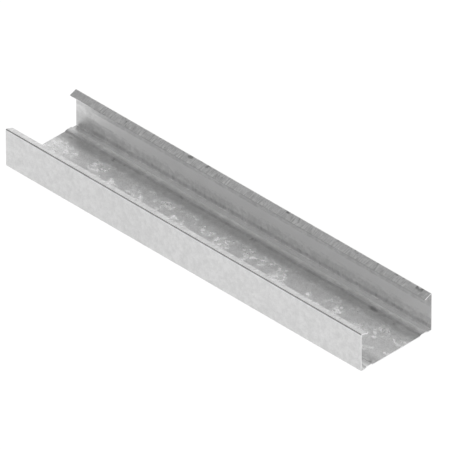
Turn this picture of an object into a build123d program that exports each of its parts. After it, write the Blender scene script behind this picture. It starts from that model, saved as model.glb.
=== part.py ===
from build123d import *
from math import cos, radians, sin, tan
import os

# A ceiling channel: one strip of zinc-coated steel, cold-rolled to a shallow
# C section and cut square at both ends. It lies on its web, open side up.
# X runs along the channel, Y across it and Z up. The origin is the middle of
# the web's underside. Lengths are in millimetres, angles in degrees.

# Overall sizes, taken over the outside faces
LENGTH = 300.0
WEB_WIDTH = 60.0
FLANGE_HEIGHT = 27.0

# The strip and its bends
SHEET = 0.6
INNER_BEND_RADIUS = 0.2

# Lips, turned inwards at the top of the flanges
LIP_REACH = 6.0  # from the flange's outside face to the lip's edge
LIP_SLOPE = 20.0  # the lip falls towards the middle of the channel

# Beads rolled into the web, raised on the inside and hollow underneath
BEAD_INSET = 6.9  # from the flange's outside face to the bead's centre line
BEAD_WIDTH = 5.1  # taken half way up the bead's flanks
BEAD_HEIGHT = 0.8
BEAD_FLANK_SLOPE = 30.0
BEAD_INNER_RADIUS = 0.3

# A fold's outside radius is one sheet more than its inside radius
bend_radius = INNER_BEND_RADIUS + SHEET
bead_foot_radius = BEAD_INNER_RADIUS + SHEET

# Places across the channel, on the strip's outside face
flange_y = WEB_WIDTH / 2
lip_edge_y = flange_y - LIP_REACH
bead_y = flange_y - BEAD_INSET
bead_flank_run = BEAD_HEIGHT / tan(radians(BEAD_FLANK_SLOPE))
bead_foot = (BEAD_WIDTH + bead_flank_run) / 2
bead_crown = (BEAD_WIDTH - bead_flank_run) / 2

# The flange and the lip would meet in a corner if the bend had no radius.
# The crest of the bend, and not that corner, reaches the flange height.
corner_rise = bend_radius * (1 + sin(radians(LIP_SLOPE))) / cos(radians(LIP_SLOPE))
lip_corner_z = FLANGE_HEIGHT - bend_radius + corner_rise
lip_edge_z = lip_corner_z - LIP_REACH * tan(radians(LIP_SLOPE))

# Half of the strip's outside face, from the middle of the web to a lip's
# edge: the corners that the rolls fold, and the radius of each fold
half_corners = [
    (bead_y - bead_foot, 0),
    (bead_y - bead_crown, BEAD_HEIGHT),
    (bead_y + bead_crown, BEAD_HEIGHT),
    (bead_y + bead_foot, 0),
    (flange_y, 0),
    (flange_y, lip_corner_z),
]
half_radii = [
    bead_foot_radius,
    BEAD_INNER_RADIUS,
    BEAD_INNER_RADIUS,
    bead_foot_radius,
    bend_radius,
    bend_radius,
]
other_half_corners = [(-y, z) for y, z in reversed(half_corners)]
other_half_radii = half_radii[::-1]

# The channel: the whole strip's outside face, thickened inwards to the sheet
# and run out to both cut ends
with BuildPart() as ceiling_channel:
    with BuildSketch(Plane.YZ) as section:
        with BuildLine() as strip:
            FilletPolyline(
                (-lip_edge_y, lip_edge_z),
                *other_half_corners,
                *half_corners,
                (lip_edge_y, lip_edge_z),
                radius=[*other_half_radii, *half_radii],
            )
            offset(amount=SHEET, side=Side.LEFT)
        make_face()
    extrude(amount=LENGTH / 2, both=True)
ceiling_channel.part.label = "ceiling_channel"

os.makedirs("parts", exist_ok=True)
export_step(ceiling_channel.part, "parts/ceiling_channel.step")
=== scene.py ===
"""A rolled ceiling channel in zinc-coated sheet, lying on a studio floor.

The channel is one strip of sheet. It is laid out flat along its length, folded
up corner by corner, rounded at each fold and then given its thickness, much as
the rolls make it. Lengths are in metres unless a name says otherwise.
"""

import logging
import math
from collections.abc import Callable, Iterator
from contextlib import contextmanager
from dataclasses import dataclass, field
from enum import Enum

import bmesh
import bpy
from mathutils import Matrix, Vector


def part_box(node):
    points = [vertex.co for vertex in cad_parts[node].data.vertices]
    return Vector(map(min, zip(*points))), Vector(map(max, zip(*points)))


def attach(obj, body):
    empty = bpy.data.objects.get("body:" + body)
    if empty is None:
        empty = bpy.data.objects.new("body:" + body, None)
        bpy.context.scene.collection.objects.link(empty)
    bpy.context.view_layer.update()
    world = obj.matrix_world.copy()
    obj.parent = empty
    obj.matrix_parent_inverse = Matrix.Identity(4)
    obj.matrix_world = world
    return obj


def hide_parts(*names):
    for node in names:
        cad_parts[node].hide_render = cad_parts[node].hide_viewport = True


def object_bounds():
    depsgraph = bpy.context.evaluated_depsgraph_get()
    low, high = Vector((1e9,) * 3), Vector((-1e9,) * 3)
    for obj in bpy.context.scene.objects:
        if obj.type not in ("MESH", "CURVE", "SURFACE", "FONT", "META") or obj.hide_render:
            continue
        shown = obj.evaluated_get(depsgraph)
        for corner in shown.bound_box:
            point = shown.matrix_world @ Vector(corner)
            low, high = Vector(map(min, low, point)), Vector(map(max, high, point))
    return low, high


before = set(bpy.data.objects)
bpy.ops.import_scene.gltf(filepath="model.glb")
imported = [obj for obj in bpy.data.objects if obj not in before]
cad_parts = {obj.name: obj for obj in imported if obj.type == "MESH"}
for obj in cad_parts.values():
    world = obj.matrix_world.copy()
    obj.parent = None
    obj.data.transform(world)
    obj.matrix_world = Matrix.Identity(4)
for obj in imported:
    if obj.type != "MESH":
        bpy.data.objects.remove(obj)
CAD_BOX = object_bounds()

MM = 0.001
log = logging.getLogger("ceiling_channel")

Span = tuple[float, float]
Place = tuple[float, float, float]

# The values of a noise that count as its least and its most
NARROW_NOISE: Span = (0.35, 0.65)
USUAL_NOISE: Span = (0.3, 0.7)
WIDE_NOISE: Span = (0.25, 0.75)


class Hand(Enum):
    """The two halves of the section, by the sign of Y."""

    NEAR = -1
    FAR = 1


class Ray(Enum):
    """Rays that see the white of the studio itself, by their Light Path output."""

    CAMERA = "Is Camera Ray"
    GLOSSY = "Is Glossy Ray"
    TRANSMISSION = "Is Transmission Ray"


class Slot(Enum):
    """The material slots of the channel's mesh."""

    SKIN = 0
    CUT = 1


class Shader:
    """A node tree with short calls for the nodes that the finishes use."""

    def __init__(self, tree: bpy.types.NodeTree) -> None:
        """Empties the tree.

        Args:
            tree: The node tree of a material or of the world.
        """
        self.tree = tree
        tree.nodes.clear()

    def node(self, kind: str, **settings: object) -> bpy.types.Node:
        """Adds a node.

        Args:
            kind: The node's type name.
            **settings: Properties of the node, by name.

        Returns:
            The new node.
        """
        made = self.tree.nodes.new(kind)
        for name, value in settings.items():
            setattr(made, name, value)
        return made

    def feed(self, socket: bpy.types.NodeSocket, value: object) -> None:
        """Links a socket, or sets it to a plain value.

        Args:
            socket: The input to fill.
            value: Another node's output, or a number or tuple.
        """
        if isinstance(value, bpy.types.NodeSocket):
            self.tree.links.new(value, socket)
        else:
            socket.default_value = value

    def show(self, last: bpy.types.Node, kind: str = "ShaderNodeOutputMaterial") -> None:
        """Shows a node's shader as the tree's surface."""
        self.feed(self.node(kind).inputs["Surface"], last.outputs[0])

    def show_metal(self, metallic: float, reflectance: object, roughness: object, normal: object) -> None:
        """Shows a neutral metal as the tree's surface.

        Args:
            metallic: How far it is bare metal.
            reflectance: The share of light that it throws back.
            roughness: How dull it is.
            normal: The surface's direction.
        """
        principled = self.node("ShaderNodeBsdfPrincipled")
        self.feed(principled.inputs["Metallic"], metallic)
        self.feed(principled.inputs["Base Color"], self.grey(reflectance))
        self.feed(principled.inputs["Roughness"], roughness)
        self.feed(principled.inputs["Normal"], normal)
        self.show(principled)

    def place_mm(self) -> bpy.types.NodeSocket:
        """Gives the place on the object in millimetres."""
        return self.vector("SCALE", self.node("ShaderNodeTexCoord").outputs["Object"], 1.0 / MM)

    def attribute(self, name: str) -> bpy.types.NodeSocket:
        """Gives a number that the mesh holds at each vertex."""
        return self.node("ShaderNodeAttribute", attribute_name=name).outputs["Fac"]

    def math(self, operation: str, first: object, second: object = 0.0) -> bpy.types.NodeSocket:
        """Works out a number from one or two others.

        Args:
            operation: The operation's name, such as MULTIPLY.
            first: An output or a number.
            second: An output or a number.

        Returns:
            The result.
        """
        made = self.node("ShaderNodeMath", operation=operation)
        for socket, value in zip(made.inputs, (first, second)):
            self.feed(socket, value)
        return made.outputs[0]

    def times(self, product: object, *parts: object) -> object:
        """Multiplies numbers together.

        Args:
            product: An output or a number.
            *parts: The others, each an output or a number.

        Returns:
            The product.
        """
        for part in parts:
            product = self.math("MULTIPLY", part, product)
        return product

    def less(self, *parts: object) -> bpy.types.NodeSocket:
        """Takes the product of some numbers away from 1."""
        return self.math("SUBTRACT", 1.0, self.times(*parts))

    def more(self, *parts: object) -> bpy.types.NodeSocket:
        """Adds the product of some numbers to 1."""
        return self.math("ADD", 1.0, self.times(*parts))

    def gap(self, first: object, second: object) -> bpy.types.NodeSocket:
        """Gives how far two numbers are apart."""
        return self.math("ABSOLUTE", self.math("SUBTRACT", first, second))

    def vector(self, operation: str, first: object, second: object) -> bpy.types.NodeSocket:
        """Works out a vector from two others.

        Args:
            operation: The operation's name, such as ADD.
            first: An output or three numbers.
            second: An output, three numbers, or the one number of SCALE.

        Returns:
            The resulting vector.
        """
        made = self.node("ShaderNodeVectorMath", operation=operation)
        self.feed(made.inputs[0], first)
        self.feed(made.inputs["Scale" if operation == "SCALE" else 1], second)
        return made.outputs[0]

    def stretch(
        self, value: object, low: float, high: float, to_low: float, to_high: float
    ) -> bpy.types.NodeSocket:
        """Maps a range of numbers smoothly on another, and holds it there.

        Args:
            value: The number to map.
            low: The value that gives to_low.
            high: The value that gives to_high.
            to_low: The result at and below low.
            to_high: The result at and above high.

        Returns:
            The mapped number.
        """
        made = self.node("ShaderNodeMapRange", interpolation_type="SMOOTHSTEP")
        names = ("Value", "From Min", "From Max", "To Min", "To Max")
        for name, number in zip(names, (value, low, high, to_low, to_high)):
            self.feed(made.inputs[name], number)
        return made.outputs["Result"]

    def ramp(self, value: object, stops: list[tuple[float, float]]) -> bpy.types.NodeSocket:
        """Reads a number off a row of stops, with straight lines between them.

        Args:
            value: Where to read, from 0 to 1.
            stops: The place and the number of each stop, in order.

        Returns:
            The number there.
        """
        made = self.node("ShaderNodeValToRGB")
        row = made.color_ramp.elements
        while len(row) < len(stops):
            row.new(0.5)
        for element, (at, number) in zip(row, stops):
            element.position = at
            element.color = (number, number, number, 1.0)
        self.feed(made.inputs["Fac"], value)
        return made.outputs["Color"]

    def noise(
        self, place: object, size_mm: float, detail: float = 2.0, rough: float = 0.5, output: str = "Fac"
    ) -> bpy.types.NodeSocket:
        """Adds a cloud pattern.

        Args:
            place: The place to read it at, in millimetres.
            size_mm: The size of its largest blots.
            detail: How many finer layers it has.
            rough: How strong the finer layers are.
            output: Fac for one number, or Color for three.

        Returns:
            The pattern, from 0 to 1.
        """
        made = self.node("ShaderNodeTexNoise")
        self.feed(made.inputs["Vector"], place)
        for name, number in (("Scale", 1.0 / size_mm), ("Detail", detail), ("Roughness", rough)):
            self.feed(made.inputs[name], number)
        return made.outputs[output]

    def cells(self, place: object, size_mm: float) -> bpy.types.NodeSocket:
        """Adds a pattern of irregular cells.

        Args:
            place: The place to read it at, in millimetres.
            size_mm: The usual size of a cell.

        Returns:
            A colour for each cell.
        """
        made = self.node("ShaderNodeTexVoronoi")
        self.feed(made.inputs["Vector"], place)
        self.feed(made.inputs["Scale"], 1.0 / size_mm)
        return made.outputs["Color"]

    def spread(self, pattern: object, most: float) -> bpy.types.NodeSocket:
        """Turns a coloured pattern into tilts to all sides, up to a given size."""
        centred = self.vector("SUBTRACT", pattern, (0.5, 0.5, 0.5))
        return self.vector("SCALE", centred, most * 2.0)

    def grey(self, value: object) -> bpy.types.NodeSocket:
        """Makes a neutral colour.

        Args:
            value: How bright it is.

        Returns:
            The colour.
        """
        made = self.node("ShaderNodeCombineColor")
        for socket in made.inputs:
            self.feed(socket, value)
        return made.outputs[0]

    def join(self, *axes: object) -> bpy.types.NodeSocket:
        """Makes a vector.

        Args:
            *axes: Its X, its Y and perhaps its Z.

        Returns:
            The vector.
        """
        made = self.node("ShaderNodeCombineXYZ")
        for socket, value in zip(made.inputs, axes):
            self.feed(socket, value)
        return made.outputs[0]


def new_material(name: str) -> tuple[bpy.types.Material, Shader]:
    """Makes a material with an empty node tree.

    Args:
        name: The material's name.

    Returns:
        The material, and the shader that fills its tree.
    """
    made = bpy.data.materials.new(name)
    made.use_nodes = True
    return made, Shader(made.node_tree)


class SheetPoint:
    """The point of the sheet that is shaded.

    Attributes:
        shader: The shader of its material.
        place: Where it lies, in millimetres.
        x: That place along the channel.
        y: That place across the channel.
        z: Its height.
        girth: Its place along the unrolled sheet, or OUTSIDE on the outside face.
    """

    def __init__(self, shader: Shader) -> None:
        """Reads where the point lies.

        Args:
            shader: The shader of its material.
        """
        self.shader = shader
        self.place = shader.place_mm()
        split = shader.node("ShaderNodeSeparateXYZ")
        shader.feed(split.inputs[0], self.place)
        self.x, self.y, self.z = split.outputs
        self.girth = shader.attribute(RolledStrip.GIRTH)

    def by_face(self, outside: float, inside: float) -> bpy.types.NodeSocket:
        """Gives one number on the sheet's outside face, and another on its inside."""
        return self.shader.stretch(self.girth, RolledStrip.OUTSIDE, 0.0, outside, inside)

    def by_half(self, near_half: float, far_half: float) -> bpy.types.NodeSocket:
        """Gives one number on the near half of the channel, and another on the far half."""
        return self.shader.stretch(self.y, -1.0, 1.0, near_half, far_half)


@dataclass(frozen=True)
class PaintedLightBand:
    """A lengthwise band of painted light and shade on the inside of the sheet: painted highlight where its
    gain is over 1, and painted shade where it is under.

    Attributes:
        at: Its middle, in millimetres along the unrolled sheet from the web's middle.
        half: Half the width that it keeps its full strength over, in millimetres.
        fade: How far it takes to fade out on each side, in millimetres.
        gain: What it makes of the light thrown back, under 1 where it is dark.
    """

    at: float
    half: float
    fade: float
    gain: float


@dataclass(frozen=True)
class ZincCoat:
    """Hot-dip zinc on cold-rolled strip: dull and cloudy, with clusters of small bright grains, and with
    painted light and shade in its reflectance.

    Sizes and places are in millimetres. A girth is a place along the unrolled sheet, from
    the web's middle. A depth is the share of light that a dark mark takes, and a gain is
    what a mark makes of it. A span is where one state of the coat passes into another.
    """

    metallic: float = 0.7
    reflectance: float = 0.77
    roughness: float = 0.45
    uneven: float = 0.03
    cloud_mm: float = 3.6
    cloud_depth: float = 0.065
    tooth_mm: float = 0.5
    tooth_tilt: float = 0.055
    swell_mm: float = 3.0
    swell_tilt: float = 0.035

    # Fine speckle, strongest on the web's inside
    speckle_mm: float = 0.7
    speckle_outside: float = 0.045
    speckle_web: float = 0.14
    speckle_flange: float = 0.04
    speckle_girth: Span = (13.0, 20.0)

    # Clusters of pale leaves, and the bright grains in them
    cluster_mm: float = 12.0
    cluster_shift: Place = (-3161.0, -171.5, 0.0)
    cluster_edge: Span = (0.5, 0.53)
    leaf_strength: float = 0.35
    grain_mm: float = 1.45
    grain_stretch: float = 1.5
    grain_share: float = 0.45
    grain_edge: float = 0.04
    grain_gain: float = 1.26
    grain_gloss: float = 0.18
    grain_tilt: float = 0.13
    grain_lean: float = -0.13
    ragged_mm: float = 0.9
    ragged_reach: float = 0.8
    pressed_outside: float = 0.12
    pressed_inside: float = 0.4
    pressed_girth: Span = (11.0, 17.0)

    # Streaks and dark ticks on the lips
    lip_z: Span = (24.3, 24.8)
    lip_side: Span = (29.0, 29.6)
    streak_mm: float = 0.6
    streak_long_mm: float = 7.0
    streak_patch_mm: float = 4.0
    streak_depth: float = 0.34
    streak_least: float = 0.35
    streak_far_gain: float = 1.12
    tick_mm: float = 4.6
    tick_shift: Place = (1644.0, 393.0, 0.0)
    tick_depth: float = 0.5
    tick_edge: Span = (0.61, 0.69)
    tick_y: Span = (25.6, 28.4)
    tick_least: float = 0.2

    # Dark blots of random shape, held to the beads' feet and the near bead as painted shade there
    blot_mm: float = 6.5
    blot_shift: Place = (-1505.0, 127.0, 0.0)
    blot_depth: float = 0.4
    blot_edge: Span = (0.59, 0.76)
    blot_girth: float = 19.3
    blot_reach: Span = (0.8, 3.0)
    blot_elsewhere: float = 0.12
    blot_near: float = 0.7
    blot_near_y: Span = (-24.0, -19.0)

    # Dark flames that lick up the flanges from their crease: a painted reflection of the web's dark blots
    flame_mm: float = 2.2
    flame_height: float = 2.5
    flame_depth: float = 0.22
    flame_edge: Span = (0.52, 0.68)
    flame_foot: Span = (31.6, 32.6)
    flame_tip: Span = (33.0, 37.5)

    # The lead end, at -X: painted shade on its flanges and beside its beads, and the painted bands fainter
    # on its flanges
    lead_x: Span = (-142.0, -124.0)
    lead_girth: Span = (22.0, 27.0)
    lead_strength: float = 0.1
    lead_bead_shade: float = 0.2
    lead_bead_shade_x: Span = (-142.0, -118.0)
    lead_bead_shade_girth: float = 15.0
    lead_bead_shade_reach: Span = (2.0, 6.0)
    lead_flange_shade: float = 0.13
    lead_flange_shade_x: Span = (-126.0, -98.0)
    lead_flange_shade_girth: Span = (25.0, 30.0)

    # Burnished bends, painted shade on the near half, and lengthwise bands of painted light and shade
    # along the whole sheet
    burnish_gloss: float = 0.32
    near_half_shade: float = 0.09
    near_half_shade_y: Span = (-6.0, 0.0)
    band_wander: float = 0.5
    band_wander_mm: float = 7.0
    # Each band is a painted highlight where its gain is over 1, and painted shade where it is under
    bands: tuple[PaintedLightBand, ...] = (
        PaintedLightBand(at=30.0, half=40.0, fade=1.0, gain=1.068),
        PaintedLightBand(at=0.0, half=1.0, fade=3.5, gain=0.93),
        PaintedLightBand(at=6.5, half=4.5, fade=3.0, gain=1.02),
        PaintedLightBand(at=18.2, half=1.2, fade=5.6, gain=0.75),
        PaintedLightBand(at=20.7, half=0.7, fade=0.6, gain=1.15),
        PaintedLightBand(at=22.6, half=0.6, fade=1.2, gain=0.92),
        PaintedLightBand(at=25.0, half=1.7, fade=1.2, gain=1.1),
        PaintedLightBand(at=27.2, half=1.2, fade=2.0, gain=1.22),
        PaintedLightBand(at=32.9, half=0.35, fade=2.1, gain=0.8),
        PaintedLightBand(at=41.8, half=1.6, fade=2.0, gain=1.11),
        PaintedLightBand(at=44.4, half=1.9, fade=1.3, gain=1.45),
        PaintedLightBand(at=47.0, half=7.0, fade=4.0, gain=1.05),
    )

    def material(self) -> bpy.types.Material:
        """Builds the coat.

        Returns:
            The material of both faces of the sheet.
        """
        made, shader = new_material("zinc_coat")
        point = SheetPoint(shader)
        clouds = shader.noise(point.place, self.cloud_mm, detail=3.0, rough=0.6)
        grains = self.grains(point)
        shader.show_metal(
            metallic=self.metallic,
            reflectance=self.shade(point, clouds, grains),
            roughness=self.dullness(shader, clouds, grains),
            normal=self.tilted(point, grains),
        )
        return made

    def grains(self, point: SheetPoint) -> object:
        """Gives 1 on the bright grains, less on the pale leaves that hold them, and 0 elsewhere.

        The rolls pressed most of them flat everywhere but in the middle of the web's inside.

        Args:
            point: The point that is shaded.

        Returns:
            The mask of the grains.
        """
        shader = point.shader
        shifted = shader.vector("ADD", point.place, self.cluster_shift)
        clouds = shader.noise(shifted, self.cluster_mm, detail=5.0, rough=0.6)
        tone = shader.node("ShaderNodeSeparateColor")
        shader.feed(tone.inputs[0], self.grain_cells(point))
        share = 1.0 - self.grain_share
        edge = (share - self.grain_edge, share + self.grain_edge)
        kept = shader.times(
            point.by_face(self.pressed_outside, 1.0),
            shader.stretch(point.girth, *self.pressed_girth, 1.0, self.pressed_inside),
        )
        return shader.times(
            shader.stretch(clouds, *self.cluster_edge, 0.0, 1.0),
            shader.stretch(tone.outputs["Red"], *edge, self.leaf_strength, 1.0),
            kept,
        )

    def grain_cells(self, point: SheetPoint) -> bpy.types.NodeSocket:
        """Gives each grain a colour: they are ragged, and longer the way the rolls drew them out.

        Args:
            point: The point that is shaded.

        Returns:
            The colour of the grain that holds the point.
        """
        shader = point.shader
        longer = shader.vector("MULTIPLY", point.place, (1.0 / self.grain_stretch, 1.0, 1.0))
        noise = shader.noise(longer, self.ragged_mm, detail=3.0, rough=0.65, output="Color")
        ragged = shader.vector("ADD", longer, shader.vector("SCALE", noise, self.ragged_reach))
        return shader.cells(ragged, self.grain_mm)

    def shade(self, point: SheetPoint, clouds: object, grains: object) -> object:
        """Works out how much light the zinc throws back, with the painted light and shade multiplied in.

        Args:
            point: The point that is shaded.
            clouds: The cloud pattern, 0 to 1.
            grains: Where the grains are.

        Returns:
            The reflectance.
        """
        shader = point.shader
        wander = shader.noise(point.place, self.band_wander_mm, detail=3.0, rough=0.6)
        off = shader.times(self.band_wander * 2, shader.math("SUBTRACT", wander, 0.5))
        ragged_girth = shader.math("ADD", point.girth, off)
        product = shader.times(
            self.reflectance,
            shader.stretch(clouds, *USUAL_NOISE, 1.0 - self.cloud_depth, 1.0 + self.cloud_depth),
            self.speckled(point),
            shader.stretch(grains, 0.0, 1.0, 1.0, self.grain_gain),
            # The painted dark reflection line along the near top bend
            shader.attribute(RolledStrip.PAINTED_BEND_LINE),
            self.painted_bands(point, ragged_girth),
            self.lead_and_near_shade(point, ragged_girth),
            self.blots(point),
            self.flames(point),
            self.streaks(point),
            self.ticks(point),
        )
        return shader.math("MINIMUM", product, 1.0)

    def speckled(self, point: SheetPoint) -> object:
        """Gives about 1, with the fine speckle.

        Args:
            point: The point that is shaded.

        Returns:
            What the speckle makes of the light thrown back.
        """
        shader = point.shader
        speckle = shader.noise(point.place, self.speckle_mm, detail=1.0)
        depth = shader.math(
            "MINIMUM",
            point.by_face(self.speckle_outside, self.speckle_web),
            shader.stretch(point.girth, *self.speckle_girth, self.speckle_web, self.speckle_flange),
        )
        return shader.more(depth, shader.stretch(speckle, *WIDE_NOISE, -1.0, 1.0))

    def painted_bands(self, point: SheetPoint, girth: object) -> object:
        """Multiplies the lengthwise bands of painted light and shade together. They are fainter on the
        lead end's flanges.

        Args:
            point: The point that is shaded.
            girth: Its place along the unrolled sheet, made to wander.

        Returns:
            What the bands make of the light thrown back.
        """
        shader = point.shader
        level: object = 1.0
        for band in self.bands:
            gap = shader.gap(girth, band.at)
            part = shader.stretch(gap, band.half, band.half + band.fade, band.gain, 1.0)
            level = shader.times(level, part)
        band_strength = shader.math(
            "MAXIMUM",
            shader.stretch(point.x, *self.lead_x, self.lead_strength, 1.0),
            shader.stretch(girth, *self.lead_girth, 1.0, 0.0),
        )
        return shader.more(band_strength, shader.math("SUBTRACT", level, 1.0))

    def lead_and_near_shade(self, point: SheetPoint, girth: object) -> object:
        """Gives 1, and less in painted shade: on the inside of the web's near half and near the lead end.

        Near the lead end the painted shade lies on the flanges and in a strip beside the beads.

        Args:
            point: The point that is shaded.
            girth: Its place along the unrolled sheet, made to wander.

        Returns:
            What the painted shade leaves of the light thrown back.
        """
        shader = point.shader
        beside_bead = shader.gap(girth, self.lead_bead_shade_girth)
        # Painted shade beside the beads near the lead end
        bead_side_shade = shader.times(
            shader.stretch(beside_bead, *self.lead_bead_shade_reach, self.lead_bead_shade, 0.0),
            shader.stretch(point.x, *self.lead_bead_shade_x, 1.0, 0.0),
        )
        # Painted shade on the lead end's flanges
        dull = shader.times(
            shader.stretch(girth, *self.lead_flange_shade_girth, 0.0, self.lead_flange_shade),
            shader.stretch(point.x, *self.lead_flange_shade_x, 1.0, 0.0),
        )
        # Painted shade of the near lip on the inside of the near half
        near_half = shader.times(
            shader.stretch(point.y, *self.near_half_shade_y, self.near_half_shade, 0.0),
            point.by_face(0.0, 1.0),
        )
        return shader.less(shader.math("ADD", shader.math("ADD", bead_side_shade, dull), near_half))

    def blots(self, point: SheetPoint) -> object:
        """Gives 1, and less in dark blots: random zinc blots, held to the beads' feet and the near bead as
        painted shade there, and faint elsewhere.

        Args:
            point: The point that is shaded.

        Returns:
            What the blots leave of the light thrown back.
        """
        shader = point.shader
        shifted = shader.vector("ADD", point.place, self.blot_shift)
        noise = shader.noise(shifted, self.blot_mm, detail=2.0, rough=0.45)
        foot = shader.gap(point.girth, self.blot_girth)
        near_bead = shader.times(
            shader.stretch(point.y, *self.blot_near_y, self.blot_near, 0.0),
            point.by_face(0.0, 1.0),
        )
        where = shader.math(
            "MAXIMUM",
            shader.stretch(foot, *self.blot_reach, 1.0, self.blot_elsewhere),
            near_bead,
        )
        return shader.less(shader.stretch(noise, *self.blot_edge, 0.0, self.blot_depth), where)

    def flames(self, point: SheetPoint) -> object:
        """Gives 1, and less in the ragged dark marks that lick up the flanges, a painted reflection of the
        web's dark blots.

        Args:
            point: The point that is shaded.

        Returns:
            What the flames leave of the light thrown back.
        """
        shader = point.shader
        narrow = shader.join(
            shader.math("DIVIDE", point.x, self.flame_mm),
            shader.math("DIVIDE", point.z, self.flame_mm * self.flame_height),
            shader.math("SIGN", point.y),
        )
        licks = shader.noise(narrow, 1.0, detail=3.0, rough=0.6)
        near_crease = shader.times(
            shader.stretch(point.girth, *self.flame_tip, 1.0, 0.0),
            shader.stretch(point.girth, *self.flame_foot, 0.0, 1.0),
        )
        return shader.less(shader.stretch(licks, *self.flame_edge, 0.0, self.flame_depth), near_crease)

    def on_lip(self, point: SheetPoint) -> object:
        """Gives 1 on both lips, and 0 elsewhere.

        Args:
            point: The point that is shaded.

        Returns:
            The mask of the lips.
        """
        shader = point.shader
        return shader.times(
            shader.stretch(point.z, *self.lip_z, 0.0, 1.0),
            shader.stretch(shader.math("ABSOLUTE", point.y), *self.lip_side, 1.0, 0.0),
        )

    def streaks(self, point: SheetPoint) -> object:
        """Gives about 1, with fine streaks across the lips, stronger in patches.

        Args:
            point: The point that is shaded.

        Returns:
            What the streaks make of the light thrown back.
        """
        shader = point.shader
        drawn = shader.join(
            shader.math("DIVIDE", point.x, self.streak_mm),
            shader.math("DIVIDE", point.y, self.streak_long_mm),
        )
        fine = shader.noise(drawn, 1.0, detail=4.0, rough=0.75)
        patches = shader.noise(point.place, self.streak_patch_mm)
        least = self.streak_depth * self.streak_least
        return shader.more(
            shader.stretch(patches, *NARROW_NOISE, least, self.streak_depth),
            point.by_half(1.0, self.streak_far_gain),
            shader.stretch(fine, *USUAL_NOISE, -1.0, 1.0),
            self.on_lip(point),
        )

    def ticks(self, point: SheetPoint) -> object:
        """Gives 1, and less in the dark ticks on the far lip, which are strongest by its bend.

        Args:
            point: The point that is shaded.

        Returns:
            What the ticks leave of the light thrown back.
        """
        shader = point.shader
        shifted = shader.vector("ADD", point.place, self.tick_shift)
        spots = shader.noise(shifted, self.tick_mm)
        return shader.less(
            shader.stretch(spots, *self.tick_edge, 0.0, self.tick_depth),
            shader.stretch(point.y, *self.tick_y, self.tick_least, 1.0),
            point.by_half(0.0, 1.0),
            self.on_lip(point),
        )

    def dullness(self, shader: Shader, clouds: object, grains: object) -> object:
        """Works out the roughness: the grains and the burnished bends are glossier than the rest.

        Args:
            shader: The material's shader.
            clouds: The cloud pattern, 0 to 1.
            grains: Where the grains are.

        Returns:
            The roughness.
        """
        least, most = self.roughness - self.uneven, self.roughness + self.uneven
        rough = shader.stretch(clouds, *WIDE_NOISE, least, most)
        rough = shader.math("SUBTRACT", rough, shader.times(self.grain_gloss, grains))
        bends = shader.attribute(RolledStrip.BURNISH)
        return shader.math("SUBTRACT", rough, shader.times(self.burnish_gloss, bends))

    def tilted(self, point: SheetPoint, grains: object) -> object:
        """Tilts the surface: a little by its tooth and its swell, and more by each grain.

        Args:
            point: The point that is shaded.
            grains: Where the grains are.

        Returns:
            The surface's direction.
        """
        shader = point.shader
        facet = shader.spread(self.grain_cells(point), self.grain_tilt)
        facet = shader.vector("ADD", facet, (0.0, self.grain_lean, 0.0))
        tilt = shader.vector("SCALE", facet, grains)
        for size_mm, most in ((self.tooth_mm, self.tooth_tilt), (self.swell_mm, self.swell_tilt)):
            relief = shader.noise(point.place, size_mm, output="Color")
            tilt = shader.vector("ADD", tilt, shader.spread(relief, most))
        straight = shader.node("ShaderNodeNewGeometry").outputs["Normal"]
        return shader.vector("NORMALIZE", shader.vector("ADD", straight, tilt), (0.0, 0.0, 0.0))


@dataclass(frozen=True)
class CutSteel:
    """The sheared edge of the strip: bright, finely torn steel with zinc smeared over it."""

    reflectance: float = 0.8
    darker: float = 0.08
    lighter: float = 0.05
    roughness: float = 0.36
    tear_mm: float = 0.12
    tear_depth: float = 0.02 * MM
    tear_strength: float = 0.25

    def material(self) -> bpy.types.Material:
        """Builds the cut edge's finish.

        Returns:
            The material of the sheet's edges.
        """
        made, shader = new_material("cut_steel")
        tears = shader.noise(shader.place_mm(), self.tear_mm, detail=3.0, rough=0.7)
        bump = shader.node("ShaderNodeBump")
        shader.feed(bump.inputs["Strength"], self.tear_strength)
        shader.feed(bump.inputs["Distance"], self.tear_depth)
        shader.feed(bump.inputs["Height"], tears)
        least, most = self.reflectance - self.darker, self.reflectance + self.lighter
        shader.show_metal(
            metallic=1.0,
            reflectance=shader.stretch(tears, *USUAL_NOISE, least, most),
            roughness=self.roughness,
            normal=bump.outputs[0],
        )
        return made


@dataclass(frozen=True)
class Fold:
    """One fold line on the strip's outside face.

    Attributes:
        y: Distance from the channel's middle plane.
        z: Height over the floor.
        radius: Radius that the rolls give the outside face.
        turn: How far the strip turns there, in degrees.
    """

    y: float
    z: float
    radius: float
    turn: float

    @property
    def setback(self) -> float:
        """How far before the fold line the round begins."""
        return self.radius * math.tan(math.radians(abs(self.turn)) / 2)

    @property
    def segments(self) -> int:
        """Flats that make up the round."""
        return max(RolledStrip.LEAST_FLATS, round(abs(self.turn) / RolledStrip.DEGREES_PER_FLAT))


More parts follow.
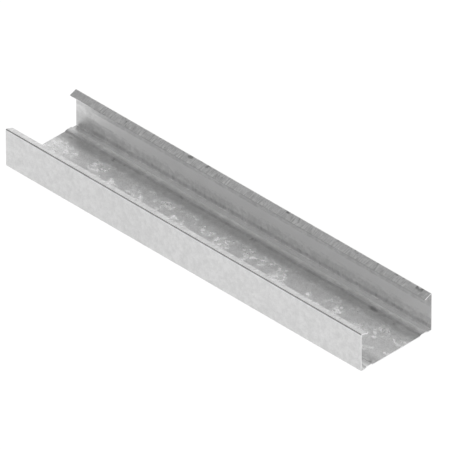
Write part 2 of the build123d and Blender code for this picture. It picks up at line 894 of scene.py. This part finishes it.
@dataclass
class RolledStrip:
    """The channel itself: web, two beads, two flanges and two lips, of one sheet.

    Angles are in degrees. The bead's inset and the lip's reach start at the flange's
    outside face, and the bead's width is taken half way up its flanks.
    """

    # Names of what each vertex holds, and the girth that marks the outside face
    WAVY = "wavy"
    PAINTED_BEND_LINE = "tone"
    GIRTH = "girth"
    BURNISH = "burnish"
    OUTSIDE = -100.0

    # The share of the sheet, from outside, where the inside begins
    INSIDE_FROM = 0.75

    # How the mesh is made. The least panel to be divided is in steps across.
    DEGREES_PER_FLAT = 6.0
    LEAST_FLATS = 4
    LEAST_PANEL = 1.5
    LENGTH_UNIT = 0.01 * MM
    LENGTH_SLACK = 0.006 * MM
    CUT_ANGLE = 60.0
    SMOOTH_ANGLE = 40.0
    FLATS_WEIGHT = 100

    # The painted dark reflection line on the near top bend, and the burnish on the outside of the bends
    BEND_LINE_AT = 43.0
    LINE_REACH = 0.215 * MM
    LINE_DEPTHS = {Hand.NEAR: 0.98, Hand.FAR: 0.0}
    BURNISH_EDGE = 20.0
    BURNISH_END = 76.0
    BURNISH_OFF = 0.03 * MM

    length: float
    width: float
    height: float
    sheet: float = 0.6 * MM
    inner_bend_radius: float = 0.2 * MM
    lip_reach: float = 6.0 * MM
    lip_slope: float = 20.0
    bead_inset: float = 6.9 * MM
    bead_width: float = 5.1 * MM
    bead_height: float = 0.8 * MM
    bead_flank_slope: float = 30.0
    bead_inner_radius: float = 0.3 * MM
    step_along: float = 2.0 * MM
    step_across: float = 2.4 * MM
    wave_depth: float = 0.05 * MM
    wave_size: float = 34.0 * MM
    calm_margin: float = 3.0 * MM
    edge_break: float = 0.05 * MM
    folds: list[Fold] = field(init=False)
    lip_edge: tuple[float, float] = field(init=False)

    def __post_init__(self) -> None:
        """Works out the fold lines of one half of the section, from the middle outwards."""
        bend = self.inner_bend_radius + self.sheet
        foot = self.bead_inner_radius + self.sheet
        slope = math.radians(self.lip_slope)
        flank = self.bead_flank_slope
        side = self.width / 2
        bead = side - self.bead_inset
        run = self.bead_height / math.tan(math.radians(flank))
        wide, narrow = (self.bead_width + run) / 2, (self.bead_width - run) / 2
        corner = self.height - bend + bend * (1 + math.sin(slope)) / math.cos(slope)
        self.folds = [
            Fold(bead - wide, 0.0, foot, flank),
            Fold(bead - narrow, self.bead_height, self.bead_inner_radius, -flank),
            Fold(bead + narrow, self.bead_height, self.bead_inner_radius, -flank),
            Fold(bead + wide, 0.0, foot, flank),
            Fold(side, 0.0, bend, 90.0),
            Fold(side, corner, bend, 90.0 + self.lip_slope),
        ]
        self.lip_edge = (side - self.lip_reach, corner - self.lip_reach * math.tan(slope))

    def build(self, name: str) -> bpy.types.Object:
        """Makes the finished mesh.

        Args:
            name: The piece's name.

        Returns:
            The channel, at the origin, with two empty material slots.
        """
        strip = self.lay_web(name)
        with edit_mode(strip) as mesh:
            for hand in Hand:
                self.fold_up(mesh, hand)
            for hand in Hand:
                for fold in self.folds:
                    self.round_fold(mesh, hand, fold)
            self.divide_panels(mesh)
            self.face_outwards(mesh)
        self.mark_waves(strip)
        self.wave(strip)
        self.thicken(strip)
        self.break_edges(strip)
        self.trim(strip)
        self.mark_skin(strip)
        self.smooth(strip)
        return strip

    def lay_web(self, name: str) -> bpy.types.Object:
        """Lays out the middle of the web as a grid, from one bead's foot to the other's.

        Args:
            name: The piece's name.

        Returns:
            The grid, as the active object.
        """
        bpy.ops.object.select_all(action="DESELECT")
        half = self.folds[0].y
        bpy.ops.mesh.primitive_grid_add(
            x_subdivisions=round(self.length / self.step_along),
            y_subdivisions=round(2 * half / self.step_across),
            size=1.0,
            location=(0.0, 0.0, 0.0),
        )
        strip = bpy.context.object
        strip.name = strip.data.name = name
        with edit_mode(strip):
            bpy.ops.mesh.select_all(action="SELECT")
            bpy.ops.transform.resize(value=(self.length, 2 * half, 1.0))
        return strip

    def fold_up(self, mesh: bmesh.types.BMesh, hand: Hand) -> None:
        """Extrudes one side of the strip, fold by fold, out to the lip's edge.

        Args:
            mesh: The mesh in edit mode.
            hand: The side to fold up.
        """
        here, *others = [(fold.y, fold.z) for fold in self.folds] + [self.lip_edge]
        rim = hand.value * here[0]
        choose(mesh, lambda edge: all(near(v.co.y, rim) for v in edge.verts))
        for there in others:
            step = (0.0, hand.value * (there[0] - here[0]), there[1] - here[1])
            bpy.ops.mesh.extrude_region_move(TRANSFORM_OT_translate={"value": step})
            here = there

    def round_fold(self, mesh: bmesh.types.BMesh, hand: Hand, fold: Fold) -> None:
        """Rounds one fold line to its radius.

        Args:
            mesh: The mesh in edit mode.
            hand: The side that it is on.
            fold: The fold.
        """
        y, z = hand.value * fold.y, fold.z
        choose(mesh, lambda edge: all(near(v.co.y, y) and near(v.co.z, z) for v in edge.verts))
        bpy.ops.mesh.bevel(
            offset_type="OFFSET",
            offset=fold.setback,
            segments=fold.segments,
            profile=0.5,
            affect="EDGES",
            clamp_overlap=False,
        )

    def divide_panels(self, mesh: bmesh.types.BMesh) -> None:
        """Cuts the flanges and lips lengthwise, so that they can carry waves too.

        Args:
            mesh: The mesh in edit mode.
        """
        lengths = {round(edge.calc_length() / self.LENGTH_UNIT) for edge in mesh.edges if across(edge)}
        for units in sorted(lengths, reverse=True):
            length = units * self.LENGTH_UNIT
            if length < self.step_across * self.LEAST_PANEL:
                break
            choose(mesh, lambda edge: across(edge) and near(edge.calc_length(), length, self.LENGTH_SLACK))
            bpy.ops.mesh.subdivide(number_cuts=round(length / self.step_across) - 1)

    def face_outwards(self, mesh: bmesh.types.BMesh) -> None:
        """Turns every face's normal to the strip's outside.

        Args:
            mesh: The mesh in edit mode.
        """
        bpy.ops.mesh.select_all(action="SELECT")
        bpy.ops.mesh.normals_make_consistent(inside=False)
        mesh.faces.ensure_lookup_table()
        lowest = min(mesh.faces, key=lambda face: face.calc_center_median().z)
        if lowest.normal.z > 0:
            bpy.ops.mesh.flip_normals()

    def flatness(self, place: Vector) -> float:
        """Says how far a place is from the nearest fold or cut end.

        Args:
            place: A vertex's place.

        Returns:
            0 at a fold, rising to 1 at the calm margin and beyond.
        """
        gaps = [
            math.hypot(place.y - hand.value * fold.y, place.z - fold.z) - fold.setback
            for hand in Hand
            for fold in self.folds
        ]
        gaps.append(self.length / 2 - abs(place.x))
        return max(0.0, min(1.0, min(gaps) / self.calm_margin))

    def mark_waves(self, strip: bpy.types.Object) -> None:
        """Weights the flats for the waves, and leaves folds and ends calm.

        Args:
            strip: The folded strip.
        """
        group = strip.vertex_groups.new(name=self.WAVY)
        for vertex in strip.data.vertices:
            group.add([vertex.index], self.flatness(vertex.co), "REPLACE")

    def wave(self, strip: bpy.types.Object) -> None:
        """Gives the flats the shallow waves that thin rolled sheet has, inwards only.

        Args:
            strip: The folded strip.
        """
        texture = bpy.data.textures.new("sheet_waves", "CLOUDS")
        texture.noise_scale = self.wave_size
        texture.noise_depth = 1
        modify(
            strip,
            "DISPLACE",
            texture=texture,
            texture_coords="LOCAL",
            vertex_group=self.WAVY,
            mid_level=0.0,
            strength=-self.wave_depth,
        )

    def thicken(self, strip: bpy.types.Object) -> None:
        """Thickens the outside face inwards to the sheet, with the cut edges in their own slot.

        Args:
            strip: The folded strip.
        """
        for _ in Slot:
            strip.data.materials.append(None)
        modify(
            strip,
            "SOLIDIFY",
            thickness=self.sheet,
            offset=-1.0,
            use_even_offset=True,
            material_offset_rim=Slot.CUT.value,
        )

    def break_edges(self, strip: bpy.types.Object) -> None:
        """Breaks the sharp edges of the cuts.

        Args:
            strip: The thick strip.
        """
        modify(
            strip,
            "BEVEL",
            width=self.edge_break,
            segments=2,
            limit_method="ANGLE",
            angle_limit=math.radians(self.CUT_ANGLE),
        )

    def smooth(self, strip: bpy.types.Object) -> None:
        """Shades the rounds smooth, and keeps the flats' own direction up to their edges.

        Args:
            strip: The finished strip.
        """
        bpy.ops.object.shade_smooth_by_angle(angle=math.radians(self.SMOOTH_ANGLE))
        modify(strip, "WEIGHTED_NORMAL", keep_sharp=True, weight=self.FLATS_WEIGHT)

    def trim(self, strip: bpy.types.Object) -> None:
        """Brings every point inside the sizes that the strip was ordered at.

        Args:
            strip: The thick strip.
        """
        for vertex in strip.data.vertices:
            vertex.co.x = max(-self.length / 2, min(self.length / 2, vertex.co.x))
            vertex.co.y = max(-self.width / 2, min(self.width / 2, vertex.co.y))
            vertex.co.z = max(0.0, min(self.height, vertex.co.z))

    def unroll(self, y: float, z: float) -> tuple[float, float]:
        """Finds a place on the unrolled sheet.

        Args:
            y: Its distance from the channel's middle plane.
            z: Its height.

        Returns:
            How far along the outside face it lies from the web's middle, and how far off that face.
        """
        corners = [(0.0, 0.0)] + [(fold.y, fold.z) for fold in self.folds] + [self.lip_edge]
        best = (0.0, math.inf)
        start = 0.0
        for (y0, z0), (y1, z1) in zip(corners, corners[1:]):
            run = math.hypot(y1 - y0, z1 - z0)
            share = ((y - y0) * (y1 - y0) + (z - z0) * (z1 - z0)) / (run * run)
            share = max(0.0, min(1.0, share))
            off = math.hypot(y - y0 - share * (y1 - y0), z - z0 - share * (z1 - z0))
            if off < best[1]:
                best = (start + share * run, off)
            start += run
        return best

    def painted_bend_line(self, hand: Hand, y: float, z: float) -> float:
        """Says how dark the painted dark reflection line along the outside of the top bend is.

        Args:
            hand: The side of the channel; the line is painted on the near side only.
            y: A place's distance from the channel's middle plane.
            z: Its height.

        Returns:
            The share of light that the line leaves there.
        """
        radius = self.folds[-1].radius
        lean = math.radians(self.BEND_LINE_AT)
        line_y = self.width / 2 - radius * (1 - math.cos(lean))
        line_z = self.height - radius * (1 - math.sin(lean))
        gap = math.hypot(y - line_y, z - line_z) / self.LINE_REACH
        return 1.0 - self.LINE_DEPTHS[hand] * math.exp(-gap * gap)

    def burnished(self, y: float, z: float) -> float:
        """Says how much the rolls burnished the outside at a place.

        Args:
            y: Its distance from the channel's middle plane.
            z: Its height.

        Returns:
            1 on a bend, and 0 on the flats.
        """
        radius = self.folds[-1].radius
        most = 0.0
        for middle_z, first, last in (
            (radius, -90.0, 0.0),
            (self.height - radius, 0.0, self.BURNISH_END),
        ):
            rise, run = z - middle_z, y - (self.width / 2 - radius)
            if near(math.hypot(rise, run), radius, self.BURNISH_OFF):
                turn = math.degrees(math.atan2(rise, run))
                inside = min(turn - first, last - turn) / self.BURNISH_EDGE
                most = max(most, min(1.0, inside))
        return most

    def mark_skin(self, strip: bpy.types.Object) -> None:
        """Writes at each vertex what the coat needs to know of the rolling, and of the painted bend line.

        The tone is the share of light that the painted dark reflection line along the near top bend
        leaves.
        The girth is the place along the unrolled sheet in millimetres, on the inside, and less than 0
        outside.
        The burnish is 1 on the outside of the bends.

        Args:
            strip: The finished strip.
        """
        skin: dict[str, list[float]] = {self.PAINTED_BEND_LINE: [], self.GIRTH: [], self.BURNISH: []}
        for vertex in strip.data.vertices:
            y, z = abs(vertex.co.y), vertex.co.z
            along, off = self.unroll(y, z)
            inside = off > self.sheet * self.INSIDE_FROM
            hand = Hand.FAR if vertex.co.y > 0 else Hand.NEAR
            skin[self.PAINTED_BEND_LINE].append(1.0 if inside else self.painted_bend_line(hand, y, z))
            skin[self.GIRTH].append(along / MM if inside else self.OUTSIDE)
            skin[self.BURNISH].append(0.0 if inside else self.burnished(y, z))
        for name, values in skin.items():
            layer = strip.data.attributes.new(name, "FLOAT", "POINT")
            layer.data.foreach_set("value", values)


@contextmanager
def edit_mode(obj: bpy.types.Object) -> Iterator[bmesh.types.BMesh]:
    """Holds edit mode on an object for a with block, with edges to select.

    Args:
        obj: The object to edit, already active.

    Yields:
        Its mesh in edit mode.
    """
    bpy.ops.object.mode_set(mode="EDIT")
    bpy.ops.mesh.select_mode(type="EDGE")
    yield bmesh.from_edit_mesh(obj.data)
    bpy.ops.object.mode_set(mode="OBJECT")


def modify(obj: bpy.types.Object, kind: str, **settings: object) -> None:
    """Adds a modifier and applies it at once.

    Args:
        obj: The active object.
        kind: The modifier's type name.
        **settings: Properties of the modifier, by name.
    """
    modifier = obj.modifiers.new(kind, kind)
    for name, value in settings.items():
        setattr(modifier, name, value)
    bpy.ops.object.modifier_apply(modifier=modifier.name)


def near(first: float, second: float, within: float = 0.001 * MM) -> bool:
    """Says whether two lengths are the same, within a micrometre or as told."""
    return abs(first - second) < within


def across(edge: bmesh.types.BMEdge) -> bool:
    """Says whether an edge runs across the channel."""
    return near(edge.verts[0].co.x, edge.verts[1].co.x)


def choose(mesh: bmesh.types.BMesh, wanted: Callable[[bmesh.types.BMEdge], bool]) -> None:
    """Selects the wanted edges, and nothing else.

    Args:
        mesh: The mesh in edit mode.
        wanted: Says of an edge whether it is wanted.
    """
    bpy.ops.mesh.select_all(action="DESELECT")
    for edge in mesh.edges:
        if wanted(edge):
            edge.select_set(True)
    mesh.select_flush_mode()


@dataclass
class CeilingChannel:
    """The dressed channel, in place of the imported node."""

    node: str = "ceiling_channel"
    record_slot: str = "galvanised_steel"
    piece_name: str = "rolled_channel"

    def make(self) -> bpy.types.Object:
        """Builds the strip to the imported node's box and dresses it.

        Returns:
            The finished piece.
        """
        low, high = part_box(self.node)
        size = high - low
        strip = RolledStrip(length=size.x, width=size.y, height=size.z)
        piece = strip.build(self.piece_name)
        piece.data.materials[Slot.SKIN.value] = ZincCoat().material()
        piece.data.materials[Slot.CUT.value] = CutSteel().material()
        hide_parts(self.node)
        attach(piece, "root")
        return piece


@dataclass(frozen=True)
class TentStop:
    """The tent's brightness at one angle, from 0 behind the channel, over the top, to 180 in front.

    Attributes:
        angle: The angle about the channel's length, in degrees.
        level: The brightness, 1 for white.
    """

    angle: float
    level: float


@dataclass
class Studio:
    """A white floor in a light tent with pale walls and a dark slot along its top.

    Every ray sees the same tent, so what lights the channel is also what it mirrors.
    Up to wall_low, in degrees, a ray sees the walls alone, and above wall_high the tent.
    The camera aims a little to the right of the object's middle and above it.
    """

    floor_size: float = 8.0
    floor_drop: float = 0.1 * MM
    floor_diffuse: float = 0.3
    floor_glow: float = 0.9
    tent: tuple[TentStop, ...] = (
        TentStop(0.0, 1.12),
        TentStop(18.0, 1.12),
        TentStop(36.0, 0.75),
        TentStop(54.0, 1.0),
        TentStop(72.0, 0.61),
        TentStop(90.0, 0.1),
        TentStop(108.0, 0.1),
        TentStop(126.0, 0.39),
        TentStop(144.0, 0.78),
        TentStop(162.0, 1.03),
        TentStop(180.0, 1.02),
    )
    wall_level: float = 1.1
    wall_low: float = 8.0
    wall_high: float = 20.0
    lens: float = 1650.0
    azimuth: float = 45.0
    elevation: float = 35.264
    picture_width: float = 268.75 * MM
    aim_right: float = 4.38 * MM
    aim_up: float = 2.43 * MM

    def build(self, target: Vector) -> None:
        """Sets up the floor, the tent and the camera.

        Args:
            target: The middle of the object.
        """
        self.lay_floor()
        self.hang_tent()
        self.place_camera(target)

    def seen_directly(self, shader: Shader) -> bpy.types.NodeSocket:
        """Tells the rays that see the floor's white from those that light the object.

        Args:
            shader: The floor's shader.

        Returns:
            1 for rays of the camera and of reflections, and 0 for the others.
        """
        path = shader.node("ShaderNodeLightPath")
        total: object = 0.0
        for ray in Ray:
            total = shader.math("MAXIMUM", path.outputs[ray.value], total)
        return total

    def lay_floor(self) -> None:
        """Lays a large pale floor that shows white and keeps the object's shadow."""
        bpy.ops.mesh.primitive_plane_add(size=self.floor_size, location=(0.0, 0.0, 0.0))
        floor = bpy.context.object
        floor.name = "studio_floor"
        with edit_mode(floor):
            bpy.ops.mesh.select_all(action="SELECT")
            bpy.ops.transform.translate(value=(0.0, 0.0, -self.floor_drop))
        material, shader = new_material("floor_white")
        diffuse = shader.node("ShaderNodeBsdfDiffuse")
        shader.feed(diffuse.inputs["Color"], (self.floor_diffuse,) * 3 + (1.0,))
        glow = shader.node("ShaderNodeEmission")
        shader.feed(glow.inputs["Strength"], shader.times(self.floor_glow, self.seen_directly(shader)))
        both = shader.node("ShaderNodeAddShader")
        shader.feed(both.inputs[0], diffuse.outputs[0])
        shader.feed(both.inputs[1], glow.outputs[0])
        shader.show(both)
        floor.data.materials.append(material)

    def hang_tent(self) -> None:
        """Makes the tent: pale walls all round, and above them its soft levels by angle."""
        world = bpy.data.worlds.new("light_tent")
        bpy.context.scene.world = world
        world.use_nodes = True
        shader = Shader(world.node_tree)
        split = shader.node("ShaderNodeSeparateXYZ")
        shader.feed(split.inputs[0], shader.node("ShaderNodeTexCoord").outputs["Generated"])
        angle = shader.math("ARCTAN2", split.outputs["Z"], split.outputs["Y"])
        levels = shader.ramp(
            shader.math("DIVIDE", angle, math.pi),
            [(stop.angle / 180.0, stop.level) for stop in self.tent],
        )
        low, high = (math.sin(math.radians(at)) for at in (self.wall_low, self.wall_high))
        wall = shader.stretch(split.outputs["Z"], low, high, 1.0, 0.0)
        walled = shader.times(self.wall_level, wall)
        above = shader.times(levels, shader.less(wall))
        background = shader.node("ShaderNodeBackground")
        shader.feed(background.inputs["Color"], (1.0, 1.0, 1.0, 1.0))
        shader.feed(background.inputs["Strength"], shader.math("ADD", walled, above))
        shader.show(background, "ShaderNodeOutputWorld")

    def place_camera(self, target: Vector) -> None:
        """Places a far camera with a very long lens, for the parallel view of the picture.

        Args:
            target: The middle of the object.
        """
        around, up = math.radians(self.azimuth), math.radians(self.elevation)
        back = Vector((math.sin(around) * math.cos(up), -math.cos(around) * math.cos(up), math.sin(up)))
        data = bpy.data.cameras.new("camera")
        data.lens = self.lens
        distance = self.picture_width * self.lens / data.sensor_width
        data.clip_start, data.clip_end = distance / 2, distance * 2
        camera = bpy.data.objects.new("camera", data)
        bpy.context.scene.collection.objects.link(camera)
        turn = back.to_track_quat("Z", "Y")
        aim = target + turn @ Vector((self.aim_right, self.aim_up, 0.0))
        camera.location = aim + back * distance
        camera.rotation_euler = turn.to_euler()
        bpy.context.scene.camera = camera


def main() -> None:
    """Builds the channel and the studio around it."""
    logging.basicConfig(level=logging.INFO, format="%(name)s: %(message)s")
    piece = CeilingChannel().make()
    log.info("%s: %d faces", piece.name, len(piece.data.polygons))
    Studio().build(target=(CAD_BOX[0] + CAD_BOX[1]) / 2)
    bpy.context.scene.view_settings.view_transform = "Standard"


if __name__ == "__main__":
    main()
